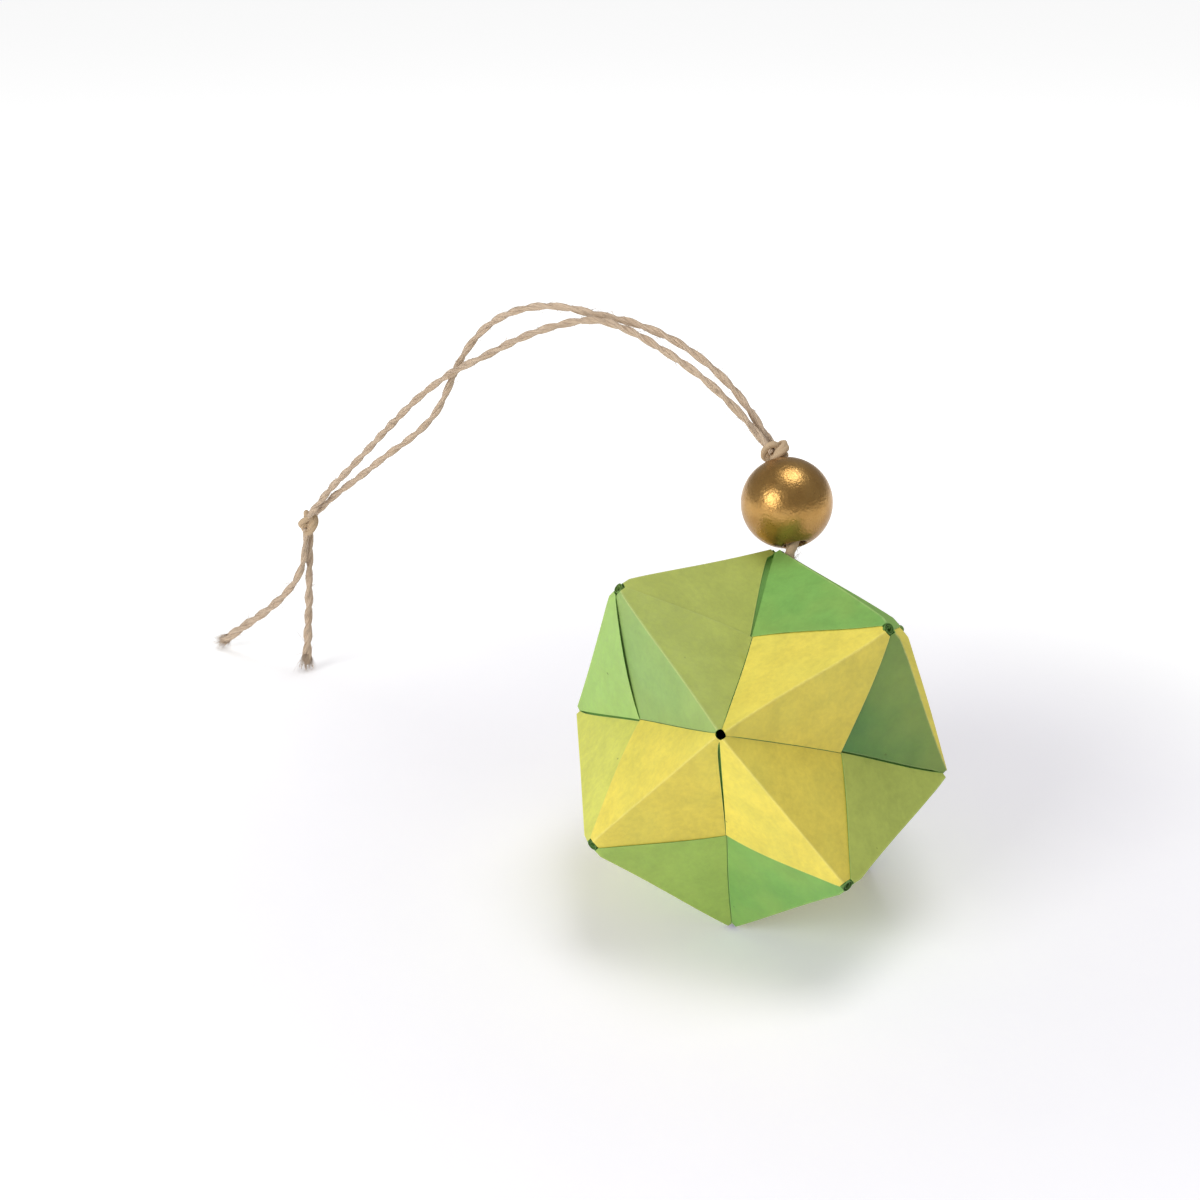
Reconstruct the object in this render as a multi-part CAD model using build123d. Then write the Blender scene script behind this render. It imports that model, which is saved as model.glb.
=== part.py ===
from build123d import *
from itertools import combinations
from math import acos, cos, degrees, pi, radians, sin, sqrt, tan
import os

# Modular paper ball on a twine hanger, millimetres, +Z up.
# Twelve square sheets are folded alike, and each one's two tabs tuck into its neighbours' pockets.
# They close into an octahedron with a right-angled pyramid on every face.
# The ball rests on one four-fold point and two three-fold points.
# The origin is on the floor, below the ball's centre.

# Driving dimensions: the paper.
SHEET_SIDE = 110.0        # the flat square sheet
PAPER = 0.13              # thickness of one layer
LAYER_GAP = 0.03          # air between two layers that lie on each other
SLIT = 0.20               # distance between the two raw edges along a sheet's middle
POINT_HOLE_R = 1.2        # small hole where four creases meet

# Driving dimensions: the bead.
BEAD_D = 20.0
BEAD_BORE_D = 5.0
BEAD_RIM = 0.4            # rounded rim of the bore
BEAD_LEAN = 20.0          # degrees, top of the bead towards the hanging loop
BEAD_SEAT_GAP = 0.05      # above the points that carry it

# Driving dimensions: the twine.
TWINE_D = 1.9             # one strand
NECK_D = 3.4              # the two strands side by side, inside the bead
NECK_CLEARANCE = 0.10     # around the neck where it leaves the ball
BEAD_KNOT_D = 6.4
BEAD_KNOT_H = 4.6
END_KNOT_D = 4.9
END_KNOT_H = 6.6
STOP_KNOT_D = 7.6
STOP_KNOT_H = 6.0
STOP_KNOT_DEPTH = 8.6     # its upper end below the ball's top point, inside
STOP_KNOT_SIDE = 0.5      # off the ball's axis, towards the loop
NECK_BEND = 1.5           # the neck turns this far before the bead's lower mouth
LOOP_TURN = 16.0          # degrees, the hanging loop leads off to -X and a little to +Y
LOOP_Y = 27.0             # the loop's upright plane crosses X = 0 here

# Routes of the twine, chosen by hand: run out along the loop's plane, height, and side.
UPPER_STRAND = [
    (4.8, 91.8, 1.0), (9.0, 96.8, 1.2), (15.0, 103.4, 1.3), (22.5, 108.8, 1.2), (31.5, 112.9, 1.3),
    (41.5, 115.2, 1.2), (52.0, 115.6, 1.4), (62.5, 116.4, 1.3), (73.0, 114.4, 1.3), (82.5, 109.6, 1.4),
    (90.5, 101.2, 1.3), (95.5, 91.5, 1.3), (100.0, 83.6, 1.4), (108.0, 76.2, 1.3), (117.0, 69.8, 1.3),
    (126.5, 62.0, 1.2), (136.0, 55.0, 1.1), (143.9, 47.6, 1.0),
]
LOWER_STRAND = [
    (4.4, 91.8, -1.0), (8.6, 96.0, -1.2), (14.5, 101.0, -1.3), (22.0, 106.0, -1.2), (31.0, 110.2, -1.3),
    (40.5, 113.8, -1.2), (50.0, 115.6, -1.3), (60.0, 112.9, -1.3), (70.5, 108.6, -1.4),
    (81.0, 102.6, -1.3), (91.5, 97.0, -1.3), (101.0, 90.2, -1.3), (110.0, 82.0, -1.4),
    (119.0, 73.2, -1.2), (127.5, 64.8, -1.3), (135.5, 57.4, -1.1), (143.2, 48.3, -1.0),
]
RIGHT_TAIL = [
    (144.7, 45.0, 1.0), (145.4, 37.5, 1.0), (146.7, 28.5, 1.1), (147.5, 18.5, 1.0), (149.1, 9.0, 1.1),
    (149.9, 1.0, 1.0),
]
LEFT_TAIL = [
    (144.3, 45.0, -1.0), (145.0, 38.0, -1.1), (148.0, 30.0, -1.2), (154.5, 22.6, -1.1),
    (163.0, 15.2, -1.3), (172.5, 8.4, -1.2), (181.0, 1.6, -1.2),
]
END_KNOT_PLACE = (144.2, 46.2, 0.0)
END_KNOT_LEAN = 15.0      # degrees, its lower end away from the ball

# The folded sheet. Its crease is half the sheet's side long and is an edge of the octahedron.
EDGE = SHEET_SIDE / (2 * sqrt(2))         # octahedron centre to a four-fold point, and each ridge
PITCH = PAPER + LAYER_GAP                 # from one layer to the next
BACK, UNDER, INNER, OUTER = 0, 1, 2, 3    # layers of a sheet on its own face
TAB = 4                                   # first of the five layers of a neighbour's tab
FLAP = 9                                  # the visible flap, on top
CREASE_GAP = PAPER / 2 + LAYER_GAP        # layers stop this far from the middle of a crease
FACE_DEPTH = FLAP * PITCH + PAPER         # all layers of a face
EDGE_OUT = EDGE + 1.5 * FACE_DEPTH        # four-fold point of the outer surface
RIDGE_SLOPE = 1 / sqrt(8)                 # fall of a ridge beside a four-fold point

TILT = -degrees(acos(2 / sqrt(5)))        # turns the ball about X onto its three resting points


class Half:
    """A half space: points whose distance along a unit normal is at most a limit."""

    def __init__(self, normal, limit):
        size = sqrt(sum(n * n for n in normal))
        self.normal = Vector(*normal) / size
        self.limit = limit

    def over(self, value):
        """The other side: distance at least value."""
        turned = Half(tuple(self.normal * -1), -value)
        return turned

    def under(self, value):
        """Distance at most value."""
        return Half(tuple(self.normal), value)


class Height(Half):
    """Height above the inner plane of one outer face."""

    def over(self, value):
        return super().over(value + 2 * EDGE / 3)

    def under(self, value):
        return super().under(value + 2 * EDGE / 3)


# Three faces meet at right angles at a three-fold point: A and its ridge neighbours B and C.
A = Height((2, 2, -1), 0)
B = Height((2, -1, 2), 0)
C = Height((-1, 2, 2), 0)
A_LEFT = Height((2, 2, 1), 0)             # the face across the sheet's own crease
OWN_CREASE = Half((0, 0, 1), 0)           # middle plane of the sheet's own crease
TAB_CREASE = Half((0, 1, 0), 0)           # middle plane of the crease that the tab's fold follows
MIDDLE = Half((1, -1, 0), 0)              # halves the sheet across its crease
TAB_MIDDLE = Half((1, 0, -1), 0)          # the same on the tab's face


def convex(*halves):
    """The solid that is common to some half spaces."""
    tolerance = 1e-6
    corners = []
    for one, two, three in combinations(halves, 3):
        cross = two.normal.cross(three.normal)
        scale = one.normal.dot(cross)
        if abs(scale) < 1e-9:
            continue
        point = cross * one.limit
        point += three.normal.cross(one.normal) * two.limit
        point += one.normal.cross(two.normal) * three.limit
        point = point / scale
        inside = all(h.normal.dot(point) <= h.limit + tolerance for h in halves)
        if inside and all((point - other).length > 1e-5 for other in corners):
            corners.append(point)
    faces = []
    for half in halves:
        ring = [p for p in corners if abs(half.normal.dot(p) - half.limit) < tolerance * 10]
        if len(ring) < 3:
            continue
        middle = sum(ring, Vector()) / len(ring)
        local = Plane(origin=middle, x_dir=(ring[0] - middle), z_dir=half.normal)
        ring.sort(key=lambda p: Vector(1, 0, 0).get_signed_angle(local.to_local_coords(p)))
        faces.append(Face(Wire.make_polygon(ring, close=True)))
    return Solid(Shell(faces))


def layer(face, slot):
    """The two planes of one paper layer."""
    return face.over(slot * PITCH), face.under(slot * PITCH + PAPER)


def bend(own_slot, tab_slot, *limits):
    """A layer that runs over the ridge: its leg on face A and its leg on face B."""
    own_leg = convex(*layer(A, own_slot), B.under(tab_slot * PITCH + PAPER), *limits[0])
    tab_leg = convex(*layer(B, tab_slot), A.under(own_slot * PITCH + PAPER), *limits[1])
    return [own_leg, tab_leg]


def folded_half():
    """Half of a folded sheet: one big face, its flap and its tab."""
    fold = -LAYER_GAP                     # outside of the fold along the corner diagonal
    fold_in = fold - PAPER
    nest = fold_in - LAYER_GAP            # outside of the fold nested in it
    nest_in = nest - PAPER
    raw = CREASE_GAP + PAPER + LAYER_GAP  # raw edges that lie inside a fold
    full = 1.5 * EDGE
    pieces = []
    # The back of the sheet, over the ridge and on as the tab's inner layer.
    own = [C.under(fold), OWN_CREASE.over(0), TAB_CREASE.over(CREASE_GAP), B.over(-full)]
    tab = [C.under(fold), TAB_CREASE.over(CREASE_GAP), A.over(-full)]
    pieces += bend(BACK, TAB, own, tab)
    # The turned-over corner: two layers, which end in raw edges inside the tab's long fold.
    own = [C.under(nest), OWN_CREASE.over(CREASE_GAP), TAB_CREASE.over(raw), B.over(-full)]
    tab = [C.under(nest), TAB_CREASE.over(raw), TAB_MIDDLE.over(0)]
    pieces += bend(INNER, TAB + 1, own, tab)
    own = [C.under(fold), OWN_CREASE.over(CREASE_GAP), TAB_CREASE.over(raw), B.over(-full)]
    tab = [C.under(fold), TAB_CREASE.over(raw), A.over(-full)]
    pieces += bend(OUTER, TAB + 2, own, tab)
    # The visible flap, over the ridge and on as the tab's outer layer.
    own = [C.under(fold), MIDDLE.over(SLIT / 2), OWN_CREASE.over(-PAPER / 2), TAB_CREASE.over(CREASE_GAP)]
    tab = [C.under(fold), TAB_CREASE.over(CREASE_GAP), A.over(-full)]
    pieces += bend(FLAP, TAB + 4, own, tab)
    # The small corner turned in under the tab's outer layer.
    pieces.append(convex(*layer(B, TAB + 3), C.under(fold), TAB_MIDDLE.under(0), TAB_CREASE.over(raw)))
    # The other flap, which passes under the turned-over corner on this face.
    pieces.append(convex(*layer(A, UNDER), C.under(nest), MIDDLE.under(-SLIT / 2), OWN_CREASE.over(0)))
    # Fold along the tab's long edge.
    rise = [B.over(TAB * PITCH), B.under((TAB + 4) * PITCH + PAPER)]
    run = [TAB_CREASE.over(CREASE_GAP), TAB_CREASE.under(CREASE_GAP + PAPER)]
    pieces.append(convex(*rise, *run, A.under(0), C.under(fold)))
    # Fold along the corner diagonal, on the face and on the tab.
    run = [C.under(fold), C.over(fold_in)]
    rise = [A.over(0), A.under(OUTER * PITCH + PAPER), B.under((TAB + 2) * PITCH + PAPER)]
    pieces.append(convex(*rise, *run, OWN_CREASE.over(CREASE_GAP), B.over(-full)))
    rise = [B.over(TAB * PITCH), B.under((TAB + 2) * PITCH + PAPER), A.under(OUTER * PITCH + PAPER)]
    pieces.append(convex(*rise, *run, TAB_CREASE.over(raw), A.over(-full)))
    rise = [B.over((TAB + 3) * PITCH), B.under((TAB + 4) * PITCH + PAPER)]
    pieces.append(convex(*rise, *run, TAB_CREASE.over(raw), TAB_MIDDLE.under(0), A.over(-full)))
    # The fold nested in it, between the other flap and the turned-over corner.
    rise = [A.over(UNDER * PITCH), A.under(INNER * PITCH + PAPER)]
    run = [C.under(nest), C.over(nest_in)]
    pieces.append(convex(*rise, *run, OWN_CREASE.over(CREASE_GAP), MIDDLE.under(-SLIT / 2)))
    # Fold of the turned-over corner along the crease.
    rise = [A.over(INNER * PITCH), A.under(OUTER * PITCH + PAPER)]
    run = [OWN_CREASE.over(CREASE_GAP), OWN_CREASE.under(CREASE_GAP + PAPER)]
    pieces.append(convex(*rise, *run, C.under(nest), TAB_CREASE.over(raw), B.under(0)))
    # The flap's step down through the crease, to pass under the corner of the other half.
    rise = [A.over(UNDER * PITCH), A_LEFT.over(UNDER * PITCH), A.under(FACE_DEPTH)]
    run = [OWN_CREASE.over(-PAPER / 2), OWN_CREASE.under(PAPER / 2)]
    pieces.append(convex(*rise, *run, MIDDLE.over(SLIT / 2), TAB_CREASE.over(CREASE_GAP)))
    return pieces


def folded_sheet():
    """One whole folded sheet, with its crease between the points on +X and +Y."""
    half = folded_half()
    turn = Axis((0, 0, 0), (1, 1, 0))
    pieces = half + [piece.rotate(turn, 180) for piece in half]
    sheet = pieces[0].fuse(*pieces[1:])
    reach = 4 * FACE_DEPTH
    bore = Cylinder(POINT_HOLE_R, 2 * reach)
    sheet -= Plane(origin=(EDGE_OUT, 0, 0), z_dir=(1, 0, 0)) * bore
    sheet -= Plane(origin=(0, EDGE_OUT, 0), z_dir=(0, 1, 0)) * bore
    return sheet


def tube(points, diameter):
    """A round cord: straight runs joined by the largest tangent arcs that fit."""
    runs = [b - a for a, b in zip(points, points[1:])]
    radii = []
    for before, after in zip(runs, runs[1:]):
        turn = before.get_angle(after)
        shorter = min(before.length, after.length)
        radii.append(0.45 * shorter / tan(radians(turn / 2)))
    path = FilletPolyline(*points, radius=radii)
    section = Plane(origin=path @ 0, z_dir=path % 0) * Circle(diameter / 2)
    solid = sweep(section, path=path)
    ideal = path.length * pi * diameter ** 2 / 4
    print("  length", round(path.length, 1), "volume / ideal", round(solid.volume / ideal, 5))
    print("  runs", [round(r.length, 1) for r in runs])
    print("  radii", [round(r, 1) for r in radii])
    return solid


def knot(place, along, diameter, height):
    """A tight knot's outer shape: a barrel with a waist between its two turns of twine."""
    turn_r = height / 4
    barrel = Cylinder(diameter / 2 - turn_r, height)
    barrel += Cylinder(diameter / 2 - turn_r / 2, height - 2 * turn_r)
    for side in (-1, 1):
        barrel += Pos(0, 0, side * height / 4) * Torus(diameter / 2 - turn_r, turn_r)
    return Plane(origin=place, z_dir=along) * barrel


def main_solid(shape):
    """The largest solid of a shape, without the crumbs that a cut leaves loose."""
    return max(shape.solids(), key=lambda solid: solid.volume)


def along_loop(run, height, side):
    """A point beside the ball: run out along the hanging loop, height, and sideways."""
    return Vector(0, LOOP_Y, height) + loop_dir * run + loop_side * side


os.makedirs("parts", exist_ok=True)
parts = {}

# The ball: the same folded sheet twelve times, four round each of three corners' turns.
first = folded_sheet()
sheets = []
for third in range(3):
    for quarter in range(4):
        turned = first.rotate(Axis.Z, 90 * quarter)
        turned = turned.rotate(Axis((0, 0, 0), (1, 1, 1)), 120 * third)
        sheets.append(turned.rotate(Axis.X, TILT))
centre_height = -min(sheet.bounding_box().min.Z for sheet in sheets)
centre = Vector(0, 0, centre_height)
up = Vector(0, 0, 1).rotate(Axis.X, TILT)
top_point = centre + up * EDGE_OUT

# The loop's upright plane, and the bead's axis, which leans towards the loop.
loop_dir = Vector(-1, 0, 0).rotate(Axis.Z, -LOOP_TURN)
loop_side = Vector(0, 1, 0).rotate(Axis.Z, -LOOP_TURN)
lean_side = (loop_dir - up * loop_dir.dot(up)).normalized()
bead_axis = up * cos(radians(BEAD_LEAN)) + lean_side * sin(radians(BEAD_LEAN))

# The bead sits on the ridges where they end round the top point's hole.
bead_r = BEAD_D / 2
seat = sqrt(bead_r ** 2 - POINT_HOLE_R ** 2) - POINT_HOLE_R * RIDGE_SLOPE + BEAD_SEAT_GAP
bead_centre = top_point + up * seat
mouth = sqrt(bead_r ** 2 - (BEAD_BORE_D / 2) ** 2)
bead = Sphere(bead_r) - Cylinder(BEAD_BORE_D / 2, 2 * BEAD_D)
rims = bead.edges().filter_by(GeomType.CIRCLE)
rims = [edge for edge in rims if abs(edge.radius - BEAD_BORE_D / 2) < 0.01]
bead = fillet(rims, BEAD_RIM)
parts["bead"] = Plane(origin=bead_centre, z_dir=bead_axis) * bead

# The twine inside: a stop knot, and a neck of two strands up through the ball and the bead.
low_mouth = bead_centre - bead_axis * mouth
high_mouth = bead_centre + bead_axis * mouth
stop_top = top_point - up * STOP_KNOT_DEPTH + lean_side * STOP_KNOT_SIDE
neck_route = [stop_top, low_mouth - bead_axis * NECK_BEND, high_mouth]
print("neck")
parts["twine_neck"] = tube(neck_route, NECK_D)
parts["stop_knot"] = knot(stop_top - up * STOP_KNOT_H / 2, up, STOP_KNOT_D, STOP_KNOT_H)
parts["twine_neck"] -= parts["stop_knot"]
opening = tube(neck_route, NECK_D + 2 * NECK_CLEARANCE)

for number, sheet in enumerate(sheets, 1):
    placed = sheet.moved(Location(centre))
    if placed.distance_to(opening) < LAYER_GAP:
        placed = main_solid(placed - opening)
    parts[f"sheet_{number:02d}"] = placed

# The knots outside, and the loose twine between and after them.
bead_knot_place = high_mouth + bead_axis * BEAD_KNOT_H / 2
parts["bead_knot"] = knot(bead_knot_place, bead_axis, BEAD_KNOT_D, BEAD_KNOT_H)
end_knot_axis = loop_dir * sin(radians(END_KNOT_LEAN)) - Vector(0, 0, cos(radians(END_KNOT_LEAN)))
parts["end_knot"] = knot(along_loop(*END_KNOT_PLACE), end_knot_axis, END_KNOT_D, END_KNOT_H)
routes = {
    "strand_upper": UPPER_STRAND,
    "strand_lower": LOWER_STRAND,
    "tail_right": RIGHT_TAIL,
    "tail_left": LEFT_TAIL,
}
for name, route in routes.items():
    print(name)
    strand = tube([along_loop(*point) for point in route], TWINE_D)
    parts[name] = main_solid(strand - parts["bead_knot"] - parts["end_knot"])

for name, shape in parts.items():
    export_step(shape, f"parts/{name}.step")
print("paper volume of a sheet", SHEET_SIDE ** 2 * PAPER, "folded", round(first.volume, 1))
print("centre height", round(centre_height, 3), "bead centre", bead_centre)
print(len(parts), "nodes")
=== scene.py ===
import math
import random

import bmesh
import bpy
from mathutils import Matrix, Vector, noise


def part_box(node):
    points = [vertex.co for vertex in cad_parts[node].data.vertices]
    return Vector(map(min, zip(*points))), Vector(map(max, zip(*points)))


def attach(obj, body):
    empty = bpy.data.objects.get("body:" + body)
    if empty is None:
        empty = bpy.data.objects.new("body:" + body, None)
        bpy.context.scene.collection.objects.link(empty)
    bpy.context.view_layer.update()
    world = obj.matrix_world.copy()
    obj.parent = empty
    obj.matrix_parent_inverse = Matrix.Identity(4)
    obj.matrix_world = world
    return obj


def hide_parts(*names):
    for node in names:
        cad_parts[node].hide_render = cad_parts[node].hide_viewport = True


bl_info = {
    "name": "Folded paper ball",
    "version": (1, 0, 0),
    "blender": (4, 5, 0),
    "location": "3D View > Sidebar > Paper Ball",
    "description": "A ball of twelve folded paper sheets with a gold bead and a twine hanger",
    "category": "Add Mesh",
}

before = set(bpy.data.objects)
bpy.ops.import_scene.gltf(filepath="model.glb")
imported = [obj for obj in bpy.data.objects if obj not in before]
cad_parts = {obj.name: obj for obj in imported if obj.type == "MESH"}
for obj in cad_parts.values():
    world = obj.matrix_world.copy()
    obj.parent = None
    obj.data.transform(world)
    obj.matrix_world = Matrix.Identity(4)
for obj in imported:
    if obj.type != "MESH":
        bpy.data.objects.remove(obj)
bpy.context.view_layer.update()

MM = 0.001
SHEET_NODES = sorted(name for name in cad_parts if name.startswith("sheet_"))


def ball_centre():
    """The middle of the twelve sheets' common box."""
    low = Vector((min(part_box(name)[0][axis] for name in SHEET_NODES) for axis in range(3)))
    high = Vector((max(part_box(name)[1][axis] for name in SHEET_NODES) for axis in range(3)))
    return (low + high) / 2


CENTRE = ball_centre()

# The folded sheet's layers, as the frame has them.
SHEET_SIDE = 110 * MM
PAPER = 0.13 * MM
PITCH = 0.16 * MM
EDGE = SHEET_SIDE / (2 * math.sqrt(2))
FLAP_TOP = 9 * PITCH + PAPER
TAB_TOP = 8 * PITCH + PAPER
TAB_FLOOR = 4 * PITCH
EDGE_OUT = EDGE + 1.5 * FLAP_TOP
FACE_LEVEL = 2 * EDGE / 3

# Directions of the ball: the point under the bead, and the turn onto its resting points.
TILT = -math.acos(2 / math.sqrt(5))
UP = Vector((0, math.sin(-TILT), math.cos(TILT)))

# The loop's upright plane and the routes of the twine: run out, height and side, in millimetres.
LOOP_TURN = math.radians(16)
LOOP_Y = 27.0 * MM
LOOP_DIR = Vector((-math.cos(LOOP_TURN), math.sin(LOOP_TURN), 0))
LOOP_SIDE = Vector((math.sin(LOOP_TURN), math.cos(LOOP_TURN), 0))
UPPER_STRAND = [
    (4.8, 91.8, 1.0), (9.0, 96.8, 1.2), (15.0, 103.4, 1.3), (22.5, 108.8, 1.2), (31.5, 112.9, 1.3),
    (41.5, 115.2, 1.2), (52.0, 115.6, 1.4), (62.5, 116.4, 1.3), (73.0, 114.4, 1.3), (82.5, 109.6, 1.4),
    (90.5, 101.2, 1.3), (95.5, 91.5, 1.3), (100.0, 83.6, 1.4), (108.0, 76.2, 1.3), (117.0, 69.8, 1.3),
    (126.5, 62.0, 1.2), (136.0, 55.0, 1.1), (143.9, 47.6, 1.0),
]
LOWER_STRAND = [
    (4.4, 91.8, -1.0), (8.6, 96.0, -1.2), (14.5, 101.0, -1.3), (22.0, 106.0, -1.2), (31.0, 110.2, -1.3),
    (40.5, 113.8, -1.2), (50.0, 115.6, -1.3), (60.0, 112.9, -1.3), (70.5, 108.6, -1.4),
    (81.0, 102.6, -1.3), (91.5, 97.0, -1.3), (101.0, 90.2, -1.3), (110.0, 82.0, -1.4),
    (119.0, 73.2, -1.2), (127.5, 64.8, -1.3), (135.5, 57.4, -1.1), (143.2, 48.3, -1.0),
]
RIGHT_TAIL = [
    (144.7, 45.0, 1.0), (145.4, 37.5, 1.0), (146.7, 28.5, 1.1), (147.5, 18.5, 1.0), (149.1, 9.0, 1.1),
    (149.9, 1.0, 1.0),
]
LEFT_TAIL = [
    (144.3, 45.0, -1.0), (145.0, 38.0, -1.1), (148.0, 30.0, -1.2), (154.5, 22.6, -1.1),
    (163.0, 15.2, -1.3), (172.5, 8.4, -1.2), (181.0, 1.6, -1.2),
]
END_KNOT_PLACE = (144.2, 46.2, 0.0)
END_KNOT_LEAN = math.radians(15)


def along_loop(run, height, side):
    """A point beside the ball, in metres."""
    start = Vector((0, LOOP_Y, height * MM))
    return start + LOOP_DIR * run * MM + LOOP_SIDE * side * MM


# ------------------------------------------------------------------ settings


def colour_setting(name, description, default):
    """A colour in a group of settings."""
    return bpy.props.FloatVectorProperty(
        name=name, description=description, subtype="COLOR", size=3, default=default, min=0, max=1)


def length_setting(name, description, default):
    """A length in a group of settings."""
    return bpy.props.FloatProperty(
        name=name, description=description, default=default, unit="LENGTH", precision=5)


class PaperBallPaper(bpy.types.PropertyGroup):
    """Colours and rubbing of the folded sheets; two colours carry painted shade, and the rubbed ridges are
    partly painted highlight.
    """

    yellow: colour_setting("Yellow", "Yellow end of a sheet", (0.84, 0.70, 0.110))
    olive: colour_setting("Olive", "Where yellow turns to green", (0.44, 0.50, 0.105))
    moss: colour_setting("Moss", "Dull green shade", (0.33, 0.50, 0.10))
    leaf: colour_setting("Leaf", "Clear green end of a sheet", (0.20, 0.43, 0.095))
    # Leaf green darkened as painted shade, for sheet_09's tab on the face turned from the key light.
    shaded_leaf: colour_setting("Fern", "Deep green end of a sheet", (0.085, 0.235, 0.062))
    jade: colour_setting("Jade", "Soft cool green", (0.27, 0.44, 0.135))
    # Gold: yellow darkened as painted shade, for yellow faces that lie in shade.
    gold: colour_setting("Gold", "Deeper yellow", (0.72, 0.59, 0.092))
    mint: colour_setting("Mint", "Pale cool green", (0.36, 0.57, 0.15))
    lime: colour_setting("Lime", "Yellowish green", (0.68, 0.68, 0.13))
    puff: length_setting("Puff", "How far the middle of a face stands proud", 0.35 * MM)
    blunt: length_setting("Blunt tips", "How far the layers end short of a three-fold point", 2.2 * MM)
    unevenness: length_setting("Unevenness", "Largest sway of the folded faces", 0.35 * MM)
    # Strength of the ridges' light line: partly rubbed paper, partly painted highlight of the rounded fold.
    wear_and_highlight: bpy.props.FloatProperty(
        name="Wear", description="Rubbed light lines on the ridges", subtype="FACTOR",
        default=0.12, min=0, max=1)


class PaperBallBead(bpy.types.PropertyGroup):
    """Size and paint of the bead."""

    diameter: length_setting("Diameter", "Across the bead", 20 * MM)
    bore: length_setting("Bore", "Across the hole", 5 * MM)
    rim: length_setting("Rim", "Rounding of the hole's rim", 0.4 * MM)
    lean: bpy.props.FloatProperty(
        name="Lean", description="Top of the bead towards the loop", default=math.radians(20),
        subtype="ANGLE")
    paint: colour_setting("Paint", "Gold paint", (0.41, 0.225, 0.065))


class PaperBallTwine(bpy.types.PropertyGroup):
    """Size and colours of the jute twine."""

    diameter: length_setting("Diameter", "Across one strand", 1.9 * MM)
    lay: length_setting("Lay", "Length of one full twist of the plies", 13.0 * MM)
    light: colour_setting("Light fibre", "Lit jute", (0.70, 0.54, 0.39))
    # Light and dark fibre are partly the jute's own fibre colours and partly lit and shaded copies of it:
    # painted light and painted shade in the gaps.
    dark: colour_setting("Dark fibre", "Jute between the fibres", (0.29, 0.175, 0.10))


class PaperBallStage(bpy.types.PropertyGroup):
    """Lens, floor and lights."""

    floor: colour_setting("Floor", "Pale seamless floor", (0.93, 0.93, 0.93))
    key: bpy.props.FloatProperty(name="Key light", description="Power of the front light", default=6.2)
    top: bpy.props.FloatProperty(name="Top light", description="Power of the top light", default=3.9)
    sky: bpy.props.FloatProperty(name="Ambient", description="Strength of the surround", default=0.30)
    focal_length: bpy.props.FloatProperty(
        name="Focal length", description="Lens, for a 36 mm wide image", default=51.6, unit="CAMERA")


# ------------------------------------------------------------------ small helpers


def add_object(name, mesh, smooth=True):
    """A new object that rides on the ball."""
    piece = bpy.data.objects.new(name, mesh)
    bpy.context.scene.collection.objects.link(piece)
    if smooth:
        mesh.polygons.foreach_set("use_smooth", [True] * len(mesh.polygons))
    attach(piece, "root")
    return piece


class Nodes:
    """Short calls for building a material's node tree."""

    def __init__(self, name):
        self.material = bpy.data.materials.new(name)
        self.material.use_nodes = True
        self.tree = self.material.node_tree
        self.tree.nodes.clear()
        self.out = self.add("ShaderNodeOutputMaterial")
        self.shader = self.add("ShaderNodeBsdfPrincipled")
        self.link(self.shader.outputs[0], self.out.inputs["Surface"])

    def add(self, kind, **values):
        node = self.tree.nodes.new(kind)
        for key, value in values.items():
            setattr(node, key, value)
        return node

    def link(self, source, target):
        self.tree.links.new(source, target)

    def put(self, socket, value):
        """Link a socket, or set a constant."""
        if isinstance(value, bpy.types.NodeSocket):
            self.link(value, socket)
        else:
            socket.default_value = value

    def attribute(self, name, output="Fac"):
        node = self.add("ShaderNodeAttribute", attribute_name=name)
        return node.outputs[output]

    def place(self):
        return self.add("ShaderNodeTexCoord").outputs["Object"]

    def noise(self, vector, scale, detail=3.0, roughness=0.55, distortion=0.0):
        node = self.add("ShaderNodeTexNoise")
        self.put(node.inputs["Vector"], vector)
        for key, value in (("Scale", scale), ("Detail", detail), ("Roughness", roughness),
                           ("Distortion", distortion)):
            node.inputs[key].default_value = value
        return node.outputs["Fac"]

    def math(self, operation, one, two):
        node = self.add("ShaderNodeMath", operation=operation)
        self.put(node.inputs[0], one)
        self.put(node.inputs[1], two)
        return node.outputs[0]

    def ramp(self, value, low, high, to_low=0.0, to_high=1.0):
        node = self.add("ShaderNodeMapRange", interpolation_type="SMOOTHSTEP")
        self.put(node.inputs["Value"], value)
        for key, number in (("From Min", low), ("From Max", high), ("To Min", to_low), ("To Max", to_high)):
            node.inputs[key].default_value = number
        return node.outputs["Result"]

    def mix(self, factor, one, two, blend="MIX"):
        node = self.add("ShaderNodeMix", data_type="RGBA", blend_type=blend)
        self.put(node.inputs["Factor"], factor)
        self.put(node.inputs["A"], one)
        self.put(node.inputs["B"], two)
        return node.outputs["Result"]

    def bump(self, height, distance, strength, under=None):
        node = self.add("ShaderNodeBump")
        node.inputs["Distance"].default_value = distance
        node.inputs["Strength"].default_value = strength
        self.put(node.inputs["Height"], height)
        if under is not None:
            self.link(under, node.inputs["Normal"])
        return node.outputs["Normal"]


def colour(value):
    """A four-part colour for a socket."""
    return (*value, 1.0)


def stretch(nodes, vector, scales):
    """A vector with each axis multiplied."""
    node = nodes.add("ShaderNodeVectorMath", operation="MULTIPLY")
    nodes.put(node.inputs[0], vector)
    node.inputs[1].default_value = scales
    return node.outputs["Vector"]


# ------------------------------------------------------------------ materials

# Fixed colours that the settings' colours are mixed with.
DARK_FLECK = (0.10, 0.13, 0.03, 1)
# Light ridge colour: partly rubbed paper, partly painted highlight of the rounded fold.
RUBBED_RIDGE_AND_HIGHLIGHT = (0.86, 0.82, 0.42, 1)
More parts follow.
